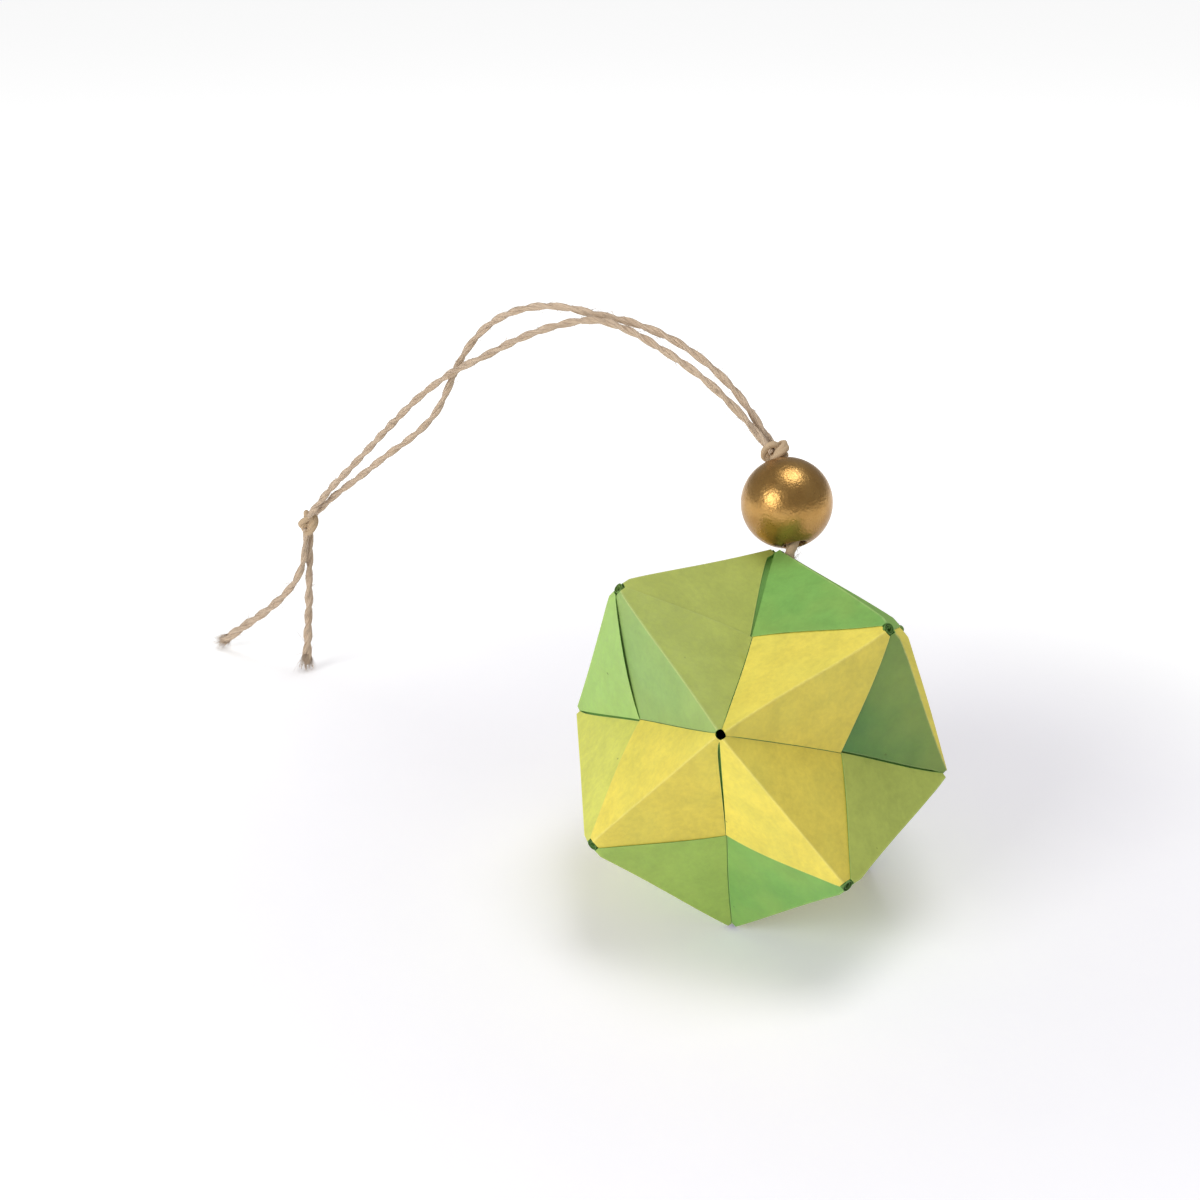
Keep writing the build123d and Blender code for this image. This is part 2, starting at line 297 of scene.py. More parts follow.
# Painted highlight for the paper's thin cut edges catching the light.
CUT_EDGE_HIGHLIGHT = (0.72, 0.80, 0.40, 1)
LIGHTER_GOLD = (0.48, 0.28, 0.09, 1)
BLEACHED_FIBRE = (0.84, 0.72, 0.57, 1)
RUSTY_FIBRE = (0.50, 0.34, 0.20, 1)
FLOOR_GRAIN = (0.88, 0.88, 0.89, 1)
# Tint of the floor's painted glow near the ball, which evens out the shadow's colour.
COOL_GLOW = (0.97, 0.88, 1.18, 1)
WHITE = (1, 1, 1, 1)

# The floor's own glow, out from the ball, a painted light since the floor is no lamp: where its tint and its
# strength change, and from what to what.
TINT_FROM, TINT_TO = 60 * MM, 200 * MM
GLOW_FROM, GLOW_TO = 70 * MM, 340 * MM
GLOW_NEAR, GLOW_FAR = 0.16, 0.66


def craft_paper(settings):
    """Matte dyed paper: mottled fibre, a few dark flecks, ridges lightened partly by rubbing and partly as
    painted highlight, and a painted highlight along the cut edges.
    """
    n = Nodes("craft_paper")
    place = n.place()
    dye = n.attribute("dye", "Color")
    distance = n.add("ShaderNodeSeparateXYZ")
    n.link(n.attribute("edge_distance", "Vector"), distance.inputs[0])
    clouds = n.noise(place, 160, 4, 0.6, 0.4)
    pulp = n.noise(place, 900, 5, 0.65)
    shade = n.math("ADD", n.ramp(clouds, 0.3, 0.7, 0.92, 1.04), n.ramp(pulp, 0.25, 0.75, -0.06, 0.06))
    body = n.mix(1.0, dye, shade, "MULTIPLY")
    warm = n.ramp(n.noise(place, 75, 2), 0.35, 0.7)
    body = n.mix(n.math("MULTIPLY", warm, 0.16), body, colour(settings.olive))
    flecks = n.ramp(n.noise(place, 430, 1.5, 0.4), 0.785, 0.815)
    body = n.mix(n.math("MULTIPLY", flecks, 0.6), body, DARK_FLECK)
    ragged = n.noise(place, 1500, 3)
    ridge = n.math("SUBTRACT", distance.outputs["X"], n.math("MULTIPLY", ragged, 0.0006))
    # The ridge's light line is partly rubbed paper and partly painted highlight.
    rub_and_highlight = n.ramp(ridge, -0.0002, 0.00025, 1.0, 0.0)
    body = n.mix(n.math("MULTIPLY", rub_and_highlight, settings.wear_and_highlight), body, RUBBED_RIDGE_AND_HIGHLIGHT)
    # A painted highlight along the cut edges, where the thin edge catches the light.
    cut = n.ramp(distance.outputs["Y"], 0.0, 0.00030, 1.0, 0.0)
    body = n.mix(n.math("MULTIPLY", cut, 0.30), body, CUT_EDGE_HIGHLIGHT)
    n.link(body, n.shader.inputs["Base Color"])
    n.link(n.ramp(pulp, 0.3, 0.7, 0.50, 0.66), n.shader.inputs["Roughness"])
    n.shader.inputs["Specular IOR Level"].default_value = 0.35
    wavy = n.bump(n.noise(place, 210, 3, 0.5), 0.00022, 0.5)
    tooth = n.bump(n.noise(place, 2600, 4, 0.7), 0.00003, 0.55, wavy)
    n.link(tooth, n.shader.inputs["Normal"])
    return n.material


def gold_paint(settings):
    """Satin gold paint with a fine orange peel and a finer grain."""
    n = Nodes("gold_paint")
    place = n.place()
    clouds = n.noise(place, 240, 4, 0.6)
    body = n.mix(n.ramp(clouds, 0.3, 0.7), colour(settings.paint), LIGHTER_GOLD)
    n.link(body, n.shader.inputs["Base Color"])
    n.shader.inputs["Metallic"].default_value = 0.88
    n.link(n.ramp(n.noise(place, 800, 3), 0.3, 0.7, 0.27, 0.34), n.shader.inputs["Roughness"])
    peel = n.bump(n.noise(place, 1100, 1.5, 0.4), 0.00005, 0.3)
    grain = n.bump(n.noise(place, 1800, 2), 0.00009, 0.9, peel)
    n.link(grain, n.shader.inputs["Normal"])
    return n.material


def jute(settings):
    """Dry bast fibre: streaks along the ply and dark gaps between the fibres, the dark partly the fibres'
    own colour and partly painted shade in the grooves.
    """
    n = Nodes("jute")
    fibre = n.attribute("fibre", "Vector")
    streaks = n.noise(stretch(n, fibre, (260, 13.0, 13.0)), 1.0, 4, 0.65, 0.6)
    fine = n.noise(stretch(n, fibre, (700, 32.0, 32.0)), 1.0, 3, 0.6)
    along = n.noise(stretch(n, fibre, (90, 0.6, 0.6)), 1.0, 2)
    # Dark where the streaks sink into the bump's grooves: partly fibre colour, partly painted shade between
    # the fibres.
    body = n.mix(n.ramp(streaks, 0.30, 0.56), colour(settings.dark), colour(settings.light))
    body = n.mix(n.ramp(fine, 0.55, 0.75, 0.0, 0.55), body, BLEACHED_FIBRE)
    body = n.mix(n.ramp(along, 0.5, 0.7, 0.0, 0.30), body, RUSTY_FIBRE)
    n.link(body, n.shader.inputs["Base Color"])
    n.shader.inputs["Roughness"].default_value = 0.82
    n.shader.inputs["Specular IOR Level"].default_value = 0.25
    n.shader.inputs["Sheen Weight"].default_value = 0.25
    ropey = n.bump(streaks, 0.00028, 0.8)
    n.link(n.bump(fine, 0.0001, 0.6, ropey), n.shader.inputs["Normal"])
    return n.material


def pale_floor(settings):
    """Seamless paper sweep with the faintest grain, and a painted glow: low near the ball, bright further
    out, and cool where it tints the shadow near the ball.
    """
    n = Nodes("pale_floor")
    grain = n.noise(n.place(), 60, 3)
    n.link(n.mix(n.ramp(grain, 0.3, 0.7, 0.0, 0.15), colour(settings.floor), FLOOR_GRAIN),
           n.shader.inputs["Base Color"])
    n.shader.inputs["Roughness"].default_value = 0.9
    n.shader.inputs["Specular IOR Level"].default_value = 0.1
    reach = n.add("ShaderNodeVectorMath", operation="LENGTH")
    n.link(n.place(), reach.inputs[0])
    # A cool painted glow near the ball, which takes the green bounce out of the shadow.
    near = n.ramp(reach.outputs["Value"], TINT_FROM, TINT_TO)
    n.link(n.mix(near, COOL_GLOW, WHITE), n.shader.inputs["Emission Color"])
    glow = n.ramp(reach.outputs["Value"], GLOW_FROM, GLOW_TO, GLOW_NEAR, GLOW_FAR)
    n.link(glow, n.shader.inputs["Emission Strength"])
    return n.material


# ------------------------------------------------------------------ twine

PATH_STEP = 0.4 * MM
KNOT_PATH_STEP = 0.35 * MM
PLIES = 2
PLY_SIDES = 14
PLY_RADIUS = 0.32         # share of the strand's diameter
PLY_OFFSET = 0.18         # share of the strand's diameter, from its middle
PLY_SWELL = 0.06
FIBRE_STEPS = 5
FIBRE_LIFT = 0.15 * MM    # lowest middle of a loose fibre over the floor
BRUSH_LIFT = 0.2 * MM     # the same in a frayed end
BRUSH_RISE = 0.3 * MM     # the brush's fibres lie this much over one another
BRUSH_LENGTH = 6.0 * MM
BRUSH_SPREAD = 0.35
BRUSH_POINTS = 4          # the plies end this many path points short of a tail's tip
TAIL_TAPER = (0.92, 1.45)
LONGEST_FIBRE = 4.5 * MM
STRAND_FIBRE_R = 0.05 * MM
KNOT_FIBRE_R = 0.03 * MM
KNOT_STEPS = 139
KNOT_ROUNDS = 2           # times round the knot's axis
KNOT_CROSSINGS = 3        # times over and under
NECK_TWINE_D = 3.3 * MM
NECK_LAY = 14 * MM
BEAD_KNOT_RISE = 2.0 * MM
STOP_KNOT_RISE = 2.0 * MM
NECK_BEND = 1.5 * MM
NECK_END = 1.0 * MM
NECK_FRINGE = 3.5 * MM    # loose fibres start this near to the bead's lower mouth

# Each knot: radius of its round, half its height, thickness of its twine and its seed.
KNOTS = {
    "bead_knot": (2.5 * MM, 1.35 * MM, 2.3 * MM, 21),
    "end_knot": (1.75 * MM, 2.3 * MM, 2.2 * MM, 22),
    "stop_knot": (2.6 * MM, 1.8 * MM, 2.0 * MM, 23),
}


def route_curve(name, points):
    """One smooth NURBS spline with the route's points as its control points."""
    curve = bpy.data.curves.new(name, "CURVE")
    curve.dimensions = "3D"
    curve.resolution_u = 12
    spline = curve.splines.new("NURBS")
    spline.points.add(len(points) - 1)
    for control, point in zip(spline.points, points):
        control.co = (*point, 1)
    spline.order_u = 3
    spline.use_endpoint_u = True
    return curve


def spline_points(name, points, step):
    """Points read from the route's spline, at nearly equal steps."""
    curve = route_curve(name, points)
    holder = bpy.data.objects.new(name, curve)
    bpy.context.scene.collection.objects.link(holder)
    bpy.context.view_layer.update()
    line = bpy.data.meshes.new_from_object(holder)
    raw = [vertex.co.copy() for vertex in line.vertices]
    bpy.data.objects.remove(holder)
    bpy.data.curves.remove(curve)
    bpy.data.meshes.remove(line)
    return even_steps(raw, step)


def even_steps(raw, step):
    """Resample a polyline at equal steps."""
    lengths = [0.0]
    for one, two in zip(raw, raw[1:]):
        lengths.append(lengths[-1] + (two - one).length)
    count = max(4, round(lengths[-1] / step))
    result = []
    index = 0
    for k in range(count + 1):
        target = lengths[-1] * k / count
        while index < len(raw) - 2 and lengths[index + 1] < target:
            index += 1
        span = max(lengths[index + 1] - lengths[index], 1e-9)
        result.append(raw[index].lerp(raw[index + 1], (target - lengths[index]) / span))
    return result


def path_frames(path):
    """A tangent and two steady side directions at each point."""
    frames = []
    side = None
    for index, point in enumerate(path):
        ahead = path[min(index + 1, len(path) - 1)]
        behind = path[max(index - 1, 0)]
        tangent = (ahead - behind).normalized()
        if side is None:
            side = tangent.orthogonal()
        side = (side - tangent * side.dot(tangent)).normalized()
        frames.append((point, tangent, side, tangent.cross(side)))
    return frames


def fibre_mesh(name, vertices, faces, fibre):
    """A mesh whose points know where they are along and across the fibre."""
    mesh = bpy.data.meshes.new(name)
    mesh.from_pydata([tuple(vertex) for vertex in vertices], [], faces)
    layer = mesh.attributes.new("fibre", "FLOAT_VECTOR", "POINT")
    layer.data.foreach_set("vector", [value for item in fibre for value in item])
    mesh.update()
    return mesh


def twist_plies(name, path, diameter, lay, seed, taper=(1.0, 1.0)):
    """A mesh of plies twisted round a path, each with ragged fibre ridges."""
    rng = random.Random(seed)
    frames = path_frames(path)
    around = PLY_SIDES
    ply_r = diameter * PLY_RADIUS
    offset = diameter * PLY_OFFSET
    vertices, faces, fibre = [], [], []
    start_angle = rng.uniform(0, math.tau)
    ridges = [(rng.randint(3, 6), rng.uniform(0, math.tau), rng.uniform(-900, 900)) for _ in range(3)]
    for ply in range(PLIES):
        base = len(vertices)
        run = 0.0
        last = frames[0][0]
        angle = start_angle + math.tau * ply / PLIES
        for index, (point, _, side, up) in enumerate(frames):
            step = (point - last).length
            run += step
            last = point
            pace = 1 + 0.35 * noise.noise(Vector((run * 55, seed * 1.7, 0)))
            angle += math.tau * step / lay * pace
            mix = index / (len(frames) - 1)
            size = taper[0] + (taper[1] - taper[0]) * mix
            fat = 1 + PLY_SWELL * 2 * noise.noise(Vector((run * 160, seed + ply * 9.1, 3)))
            reach = offset * size * (1 + 0.18 * noise.noise(Vector((run * 90, seed * 2.3, 8))))
            middle = point + (side * math.cos(angle) + up * math.sin(angle)) * reach
            for k in range(around):
                turn = math.tau * k / around
                rough = sum(math.sin(c * turn + p + run * w) for c, p, w in ridges) * 0.035
                spot = Vector((run * 700, math.cos(turn) * 2, math.sin(turn) * 2 + ply))
                rough += 0.06 * noise.noise(spot)
                radius = ply_r * size * fat * (1 + rough)
                spin = turn + angle * 0.6
                vertices.append(middle + (side * math.cos(spin) + up * math.sin(spin)) * radius)
                fibre.append((run, math.cos(turn) * 0.5 + ply * 3, math.sin(turn) * 0.5 + seed))
        rows = len(frames)
        for row in range(rows - 1):
            for k in range(around):
                a = base + row * around + k
                b = base + row * around + (k + 1) % around
                faces.append((a, b, b + around, a + around))
        faces.append(tuple(base + k for k in reversed(range(around))))
        faces.append(tuple(base + (rows - 1) * around + k for k in range(around)))
    return fibre_mesh(name, vertices, faces, fibre)


def hair_mesh(name, strands, radius):
    """Thin three-sided fibres along lists of points."""
    vertices, faces, fibre = [], [], []
    for number, strand in enumerate(strands):
        base = len(vertices)
        rows = path_frames(strand)
        for index, (point, _, side, up) in enumerate(rows):
            size = radius * (1 - 0.6 * index / (len(rows) - 1))
            for k in range(3):
                turn = math.tau * k / 3
                vertices.append(point + (side * math.cos(turn) + up * math.sin(turn)) * size)
                fibre.append((index * 0.001 + number * 0.01, number * 0.37, k * 0.1))
        for row in range(len(rows) - 1):
            for k in range(3):
                a = base + row * 3 + k
                b = base + row * 3 + (k + 1) % 3
                faces.append((a, b, b + 3, a + 3))
        faces.append((base + 2, base + 1, base))
        end = base + (len(rows) - 1) * 3
        faces.append((end, end + 1, end + 2))
    return fibre_mesh(name, vertices, faces, fibre)


def loose_fibres(path, diameter, count, longest, seed):
    """Short hairs that stand off a strand and bend back along it."""
    rng = random.Random(seed)
    frames = path_frames(path)
    hairs = []
    for _ in range(count):
        point, tangent, side, up = frames[rng.randrange(2, len(frames) - 2)]
        turn = rng.uniform(0, math.tau)
        out = side * math.cos(turn) + up * math.sin(turn)
        lean = tangent * rng.choice((-1, 1)) * rng.uniform(0.6, 2.5)
        length = longest * rng.uniform(0.25, 1.0) ** 1.5
        direction = (out + lean).normalized()
        curl = (out * rng.uniform(-0.5, 0.9) + tangent.cross(out) * rng.uniform(-0.9, 0.9)) * 0.35
        spot = point + out * diameter * 0.42
        strand = [spot.copy()]
        for _ in range(FIBRE_STEPS):
            spot = spot + direction * length / FIBRE_STEPS
            direction = (direction + curl * 0.5).normalized()
            spot.z = max(spot.z, FIBRE_LIFT)
            strand.append(spot.copy())
        hairs.append(strand)
    return hairs


def frayed_end(tip, tangent, side, diameter, count, seed):
    """The open brush of fibres at the end of a tail."""
    rng = random.Random(seed)
    up = tangent.cross(side)
    hairs = []
    for _ in range(count):
        turn = rng.uniform(0, math.tau)
        reach = math.sqrt(rng.random())
        out = side * math.cos(turn) + up * math.sin(turn)
        spot = tip - tangent * diameter * 1.2 + out * reach * diameter * 0.42
        direction = (tangent + out * reach * BRUSH_SPREAD * rng.uniform(0.3, 1.2)).normalized()
        bend = Vector((rng.uniform(-1, 1), rng.uniform(-1, 1), rng.uniform(-0.6, 0.6))) * 0.16
        strand = [spot.copy()]
        own = BRUSH_LENGTH * rng.uniform(0.55, 1.05)
        for _ in range(FIBRE_STEPS):
            spot = spot + direction * own / FIBRE_STEPS
            direction = (direction + bend).normalized()
            if spot.z < BRUSH_LIFT:
                spot.z = BRUSH_LIFT + rng.random() * BRUSH_RISE
                direction.z = abs(direction.z) * 0.1
            strand.append(spot.copy())
        hairs.append(strand)
    return hairs


def knot_path(place, axis, radius, height, phase):
    """The round of an overhand knot, pulled tight into a lump."""
    axis = axis.normalized()
    side = axis.orthogonal().normalized()
    up = axis.cross(side)
    minor = radius * 0.40
    major = radius - minor
    points = []
    for k in range(KNOT_STEPS + 1):
        t = math.tau * k / KNOT_STEPS
        wide = major + minor * math.cos(KNOT_CROSSINGS * t + phase)
        flat = side * math.cos(KNOT_ROUNDS * t) + up * math.sin(KNOT_ROUNDS * t)
        points.append(place + flat * wide + axis * math.sin(KNOT_CROSSINGS * t + phase) * height)
    return points


def add_jute(name, mesh, fibre, node=None):
    """A piece of twine that takes a CAD node's place, or loose fibres beside one."""
    piece = add_object(name, mesh)
    mesh.materials.append(fibre)
    if node:
        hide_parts(node)
    return piece


class PAPERBALL_OT_twine(bpy.types.Operator):
    """Lay the two strands of the hanging loop and the two tails"""

    bl_idname = "paperball.twine"
    bl_label = "Strands and Tails"

    def execute(self, context):
        settings = context.scene.paperball_twine
        fibre = jute(settings)
        high_mouth = bead_frame(context)[3]
        end_place = along_loop(*END_KNOT_PLACE)
        # Name, route, where it leaves, its far end, seed, loose fibres, and fibres in its brush.
        plans = (
            ("strand_upper", UPPER_STRAND, high_mouth, "knot", 3, 150, None),
            ("strand_lower", LOWER_STRAND, high_mouth, "knot", 5, 150, None),
            ("tail_right", RIGHT_TAIL, end_place, "bare", 8, 50, 160),
            ("tail_left", LEFT_TAIL, end_place, "bare", 11, 60, 180),
        )
        for name, route, leave, far_end, seed, hairs, brush in plans:
            path = spline_points(name, [along_loop(*point) for point in route], PATH_STEP)
            taper = TAIL_TAPER if brush else (1.0, 1.0)
            body = path[:-BRUSH_POINTS] if brush else path
            mesh = twist_plies(name + "_plies", body, settings.diameter, settings.lay, seed, taper=taper)
            piece = add_jute(name + "_plies", mesh, fibre, name)
            fuzz = loose_fibres(path, settings.diameter, hairs, LONGEST_FIBRE, seed + 40)
            if brush:
                tip, tangent, side, _ = path_frames(body)[-1]
                fuzz += frayed_end(tip, tangent, side, settings.diameter * 1.35, brush, seed + 70)
            hair = add_jute(name + "_fibres", hair_mesh(name + "_fibres", fuzz, STRAND_FIBRE_R), fibre)
        return {"FINISHED"}


def bead_frame(context):
    """Bead centre, its axis, and its lower and upper mouths."""
    settings = context.scene.paperball_bead
    low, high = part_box("bead")
    centre = (low + high) / 2
    lean_side = (LOOP_DIR - UP * LOOP_DIR.dot(UP)).normalized()
    axis = UP * math.cos(settings.lean) + lean_side * math.sin(settings.lean)
    mouth = math.sqrt((settings.diameter / 2) ** 2 - (settings.bore / 2) ** 2)
    return centre, axis, centre - axis * mouth, centre + axis * mouth


class PAPERBALL_OT_knots(bpy.types.Operator):
    """Tie the knots and run the doubled twine through the bead"""

    bl_idname = "paperball.knots"
    bl_label = "Knots and Neck"

    def execute(self, context):
        settings = context.scene.paperball_twine
        # The frame's own jute, which is plain: the strands' fibre material goes by another name.
        plain = bpy.data.materials["jute"]
        centre, axis, low_mouth, high_mouth = bead_frame(context)
        end_axis = LOOP_DIR * math.sin(END_KNOT_LEAN) - Vector((0, 0, math.cos(END_KNOT_LEAN)))
        stop_low, stop_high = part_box("stop_knot")
        stop_place = (stop_low + stop_high) / 2
        places = {
            "bead_knot": (high_mouth + axis * BEAD_KNOT_RISE, axis),
            "end_knot": (along_loop(*END_KNOT_PLACE), end_axis),
            "stop_knot": (stop_place, UP),
        }
        for name, (radius, height, thick, seed) in KNOTS.items():
            place, along = places[name]
            path = even_steps(knot_path(place, along, radius, height, seed), KNOT_PATH_STEP)
            mesh = twist_plies(name + "_wraps", path, thick, settings.lay, seed)
            add_jute(name + "_wraps", mesh, plain, name)
            hairs = loose_fibres(path, thick, 26, 3.0 * MM, seed + 40)
            add_jute(name + "_fibres", hair_mesh(name + "_fibres", hairs, KNOT_FIBRE_R), plain)
        stop_top = stop_place + UP * STOP_KNOT_RISE
        neck = [stop_top, low_mouth - axis * NECK_BEND, centre, high_mouth + axis * NECK_END]
        path = spline_points("neck", neck, KNOT_PATH_STEP)
        mesh = twist_plies("twine_neck_plies", path, NECK_TWINE_D, NECK_LAY, 31)
        add_jute("twine_neck_plies", mesh, plain, "twine_neck")
        near_ball = [point for point in path if (point - low_mouth).length < NECK_FRINGE]
        hairs = loose_fibres(near_ball, NECK_TWINE_D, 60, 4.0 * MM, 77)
        add_jute("twine_neck_fibres", hair_mesh("twine_neck_fibres", hairs, KNOT_FIBRE_R), plain)
        return {"FINISHED"}


# ------------------------------------------------------------------ bead

BEAD_AROUND = 128
BEAD_RIM_STEPS = 8
BEAD_BELLY_STEPS = 64
BEAD_BORE_STEPS = 4       # from each rim to the bore's middle


class PAPERBALL_OT_bead(bpy.types.Operator):
    """Turn the gold bead with its bore and rounded rims"""

    bl_idname = "paperball.bead"
    bl_label = "Bead"

    def execute(self, context):
        settings = context.scene.paperball_bead
        centre, axis, _, _ = bead_frame(context)
        radius, bore, rim = settings.diameter / 2, settings.bore / 2, settings.rim
        reach = bore + rim
        rim_height = math.sqrt((radius - rim) ** 2 - reach ** 2)
        edge_angle = math.atan2(rim_height, reach)
        profile = []
        for k in range(BEAD_RIM_STEPS + 1):
            turn = math.pi + (edge_angle - math.pi) * k / BEAD_RIM_STEPS
            profile.append((reach + rim * math.cos(turn), rim_height + rim * math.sin(turn)))
        for k in range(1, BEAD_BELLY_STEPS):
            turn = edge_angle - 2 * edge_angle * k / BEAD_BELLY_STEPS
            profile.append((radius * math.cos(turn), radius * math.sin(turn)))
        profile += [(r, -z) for r, z in reversed(profile[:BEAD_RIM_STEPS + 1])]
        for k in range(2 * BEAD_BORE_STEPS - 1, 0, -1):
            profile.append((bore, rim_height * (1 - k / BEAD_BORE_STEPS)))
        vertices = []
        for r, z in profile:
            for k in range(BEAD_AROUND):
                turn = math.tau * k / BEAD_AROUND
                vertices.append((r * math.cos(turn), r * math.sin(turn), z))
        rows = len(profile)
        faces = []
        for row in range(rows):
            for k in range(BEAD_AROUND):
                a = row * BEAD_AROUND + k
                b = row * BEAD_AROUND + (k + 1) % BEAD_AROUND
                c = (row + 1) % rows * BEAD_AROUND + (k + 1) % BEAD_AROUND
                d = (row + 1) % rows * BEAD_AROUND + k
                faces.append((a, d, c, b))
        mesh = bpy.data.meshes.new("bead_turned")
        mesh.from_pydata(vertices, [], faces)
        turn = axis.to_track_quat("Z", "Y").to_matrix().to_4x4()
        mesh.transform(Matrix.Translation(centre) @ turn)
        mesh.update()
        piece = add_object("bead_turned", mesh)
        mesh.materials.append(gold_paint(settings))
        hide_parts("bead")
        return {"FINISHED"}


# ------------------------------------------------------------------ folded sheets

# Normals of the faces round a three-fold point, in a sheet's own axes.
FACE_A = Vector((2, 2, -1)) / 3
FACE_B = Vector((2, -1, 2)) / 3
FACE_C = Vector((-1, 2, 2)) / 3

APEX_AXIS = Vector((1, 1, 1)).normalized()
APEX_OUT = (FACE_LEVEL + FLAP_TOP) * math.sqrt(3)
BLUNT_REACH = 4.5 * MM
POINT_REACH = 5.0 * MM
RIDGE_TO_POINT = Vector((1, -2, -2)) / 3

# Where the worn ball has settled away from its true points: which way, and how far in millimetres.
SETTLED = (
    (Vector((1, 0, 0)), Vector((0.5, -0.9, -2.4))),
    (Vector((0.577, -0.258, 0.775)), Vector((1.9, 0.0, -1.5))),
    (Vector((-0.577, -0.258, 0.775)), Vector((-1.5, -0.2, 0.5))),
    (Vector((0, -0.447, -0.894)), Vector((0.4, -1.6, 0.0))),
    (UP, Vector((-1.0, -0.3, 0.0))),
    (Vector((0.577, 0.774, 0.258)), Vector((-1.4, 0.2, 1.4))),
    (Vector((0.577, 0.258, -0.774)), Vector((-2.4, 1.2, 0.0))),
)
SETTLED_REACH = 15 * MM

# The sheets' meshes: how they are merged, cut and rounded, and how they open, sway and take their dye.
MERGE_REACH = 2e-6
FLAT_ANGLE = math.radians(1)
LONGEST_EDGE = 3.2 * MM
RIDGE_ROUND = 0.28 * MM
RIDGE_SEGMENTS = 3
SHORTEST_RIDGE = 8 * MM
SHARP_ANGLE = math.radians(25)
LEAST_SEAM = (0.12 * MM, 0.1 * MM)
SLIT_REACH = 9 * MM       # how far from its slit a flap lifts
SLOPE_BLEND = 0.6 * MM
SWAY_PACE = 38
SWAY_SHIFTS = (Vector((0, 0, 0)), Vector((7, 3, 1)), Vector((-4, -9, -2)))
NEIGHBOUR_TINT = 0.14     # share of the neighbour's dye that a face takes on at their fold

# Dye of each sheet: flap and tab at its first end, flap and tab at its other end. Gold and the deep green at
# sheet_09's tab are yellow and leaf darkened as painted shade, on faces that lie in shade.
DYES = {
    "sheet_01": ("lime", "yellow", "moss", "olive"),
    "sheet_02": ("leaf", "moss", "olive", "lime"),
    "sheet_03": ("mint", "moss", "yellow", "gold"),
    "sheet_04": ("gold", "yellow", "olive", "moss"),
    "sheet_05": ("olive", "moss", "lime", "yellow"),
    "sheet_06": ("leaf", "leaf", "olive", "jade"),
    "sheet_07": ("yellow", "gold", "moss", "olive"),
    "sheet_08": ("yellow", "lime", "moss", "mint"),
    "sheet_09": ("leaf", "moss", "yellow", "shaded_leaf"),
    "sheet_10": ("olive", "moss", "leaf", "leaf"),
    "sheet_11": ("moss", "leaf", "lime", "lime"),
    "sheet_12": ("lime", "yellow", "olive", "olive"),
}

# Open seams: sheet, end, and how far the tab's long fold is drawn back near the point and at its middle.
SEAMS = {
    ("sheet_12", 1): (2.7 * MM, 0.5 * MM),
    ("sheet_11", 1): (0.9 * MM, 0.5 * MM),
    ("sheet_09", 1): (0.7 * MM, 0.5 * MM),
    ("sheet_03", 1): (1.1 * MM, 0.1 * MM),
}
LIFTS = {("sheet_03", 0): 0.55 * MM}


def sheet_turn(number):
    """The turn that carries the first sheet's axes to this sheet."""
    third, quarter = divmod(number - 1, 4)
    turn = Matrix.Rotation(TILT, 3, "X")
    turn = turn @ Matrix.Rotation(math.tau / 3 * third, 3, Vector((1, 1, 1)))
    return turn @ Matrix.Rotation(math.pi / 2 * quarter, 3, "Z")


def swap_half(point):
    """The half turn that carries one half of a sheet onto the other."""
    return Vector((point.y, point.x, -point.z))


def heights(point):
    """Heights over the three faces' inner planes, in a half's own axes."""
    return tuple(face.dot(point) - FACE_LEVEL for face in (FACE_A, FACE_B, FACE_C))


def triangle_puff(one, two):
    """Rises to 1 in the middle of a big face and falls to 0 at its edges."""
    u = max(0.0, -one / EDGE)
    v = max(0.0, -two / EDGE)
    w = max(0.0, 1 - u - v)
    return min(1.0, 27 * u * v * w)


def shape_point(point, name, half, settings, own_lift, reach):
    """Move one point of a sheet from its crisp place to its soft one, in the half's axes."""
    a, b, c = heights(point)
    key = (name, half)
    moved = point.copy()
    on_tab = b > TAB_FLOOR - PITCH / 2 and a < 0
    if on_tab:
        run = c + EDGE
        near, middle = SEAMS.get(key, LEAST_SEAM)
        share = min(1.0, max(0.0, run / (EDGE / 2)))
        drawn = near + (middle - near) * share
        if run > EDGE / 2:
            drawn *= max(0.0, 1 - (run - EDGE / 2) / (EDGE / 2))
        drawn = min(drawn, 0.8 * max(run, 0))
        across = min(1.0, max(0.0, -a / max(run, 1e-6)))
        moved += FACE_A * drawn * across
    else:
        slit = (b - c) / math.sqrt(2)
        if a > 9 * PITCH - PITCH / 2 and slit > 0:
            lift = LIFTS.get(key, own_lift)
            share = min(1.0, max(0.0, -c / EDGE * 2))
            wave = math.sin(math.pi * min(1.0, share)) ** 0.8 if share > 0 else 0.0
            fall = max(0.0, 1 - slit / SLIT_REACH) ** 2
            moved += FACE_A * lift * wave * fall
    if b > a:
        moved += FACE_B * settings.puff * triangle_puff(a, c)
    else:
        moved += FACE_A * settings.puff * triangle_puff(b, c)
    apex = APEX_AXIS * APEX_OUT
    share = max(0.0, 1 - (point - apex).length / BLUNT_REACH)
    moved += slope_down(a, b, c) * settings.blunt * share ** 2
    share = max(0.0, 1 - (point - Vector((EDGE_OUT, 0, 0))).length / POINT_REACH)
    moved += RIDGE_TO_POINT * reach * share ** 2
    return moved


def slope_down(a, b, c):
    """The way down from the three-fold point, along the face or ridge that is nearest."""
    level = max(a, b, c)
    total = Vector((0, 0, 0))
    for height, face in ((a, FACE_A), (b, FACE_B), (c, FACE_C)):
        down = (face * face.dot(APEX_AXIS) - APEX_AXIS).normalized()
        total += down * math.exp((height - level) / SLOPE_BLEND)
    return total.normalized()


def soft_sway(place, amount):
    """A slow sway that all the sheets share, so that their layers stay apart."""
    return Vector([noise.noise(place * SWAY_PACE + shift) for shift in SWAY_SHIFTS]) * amount


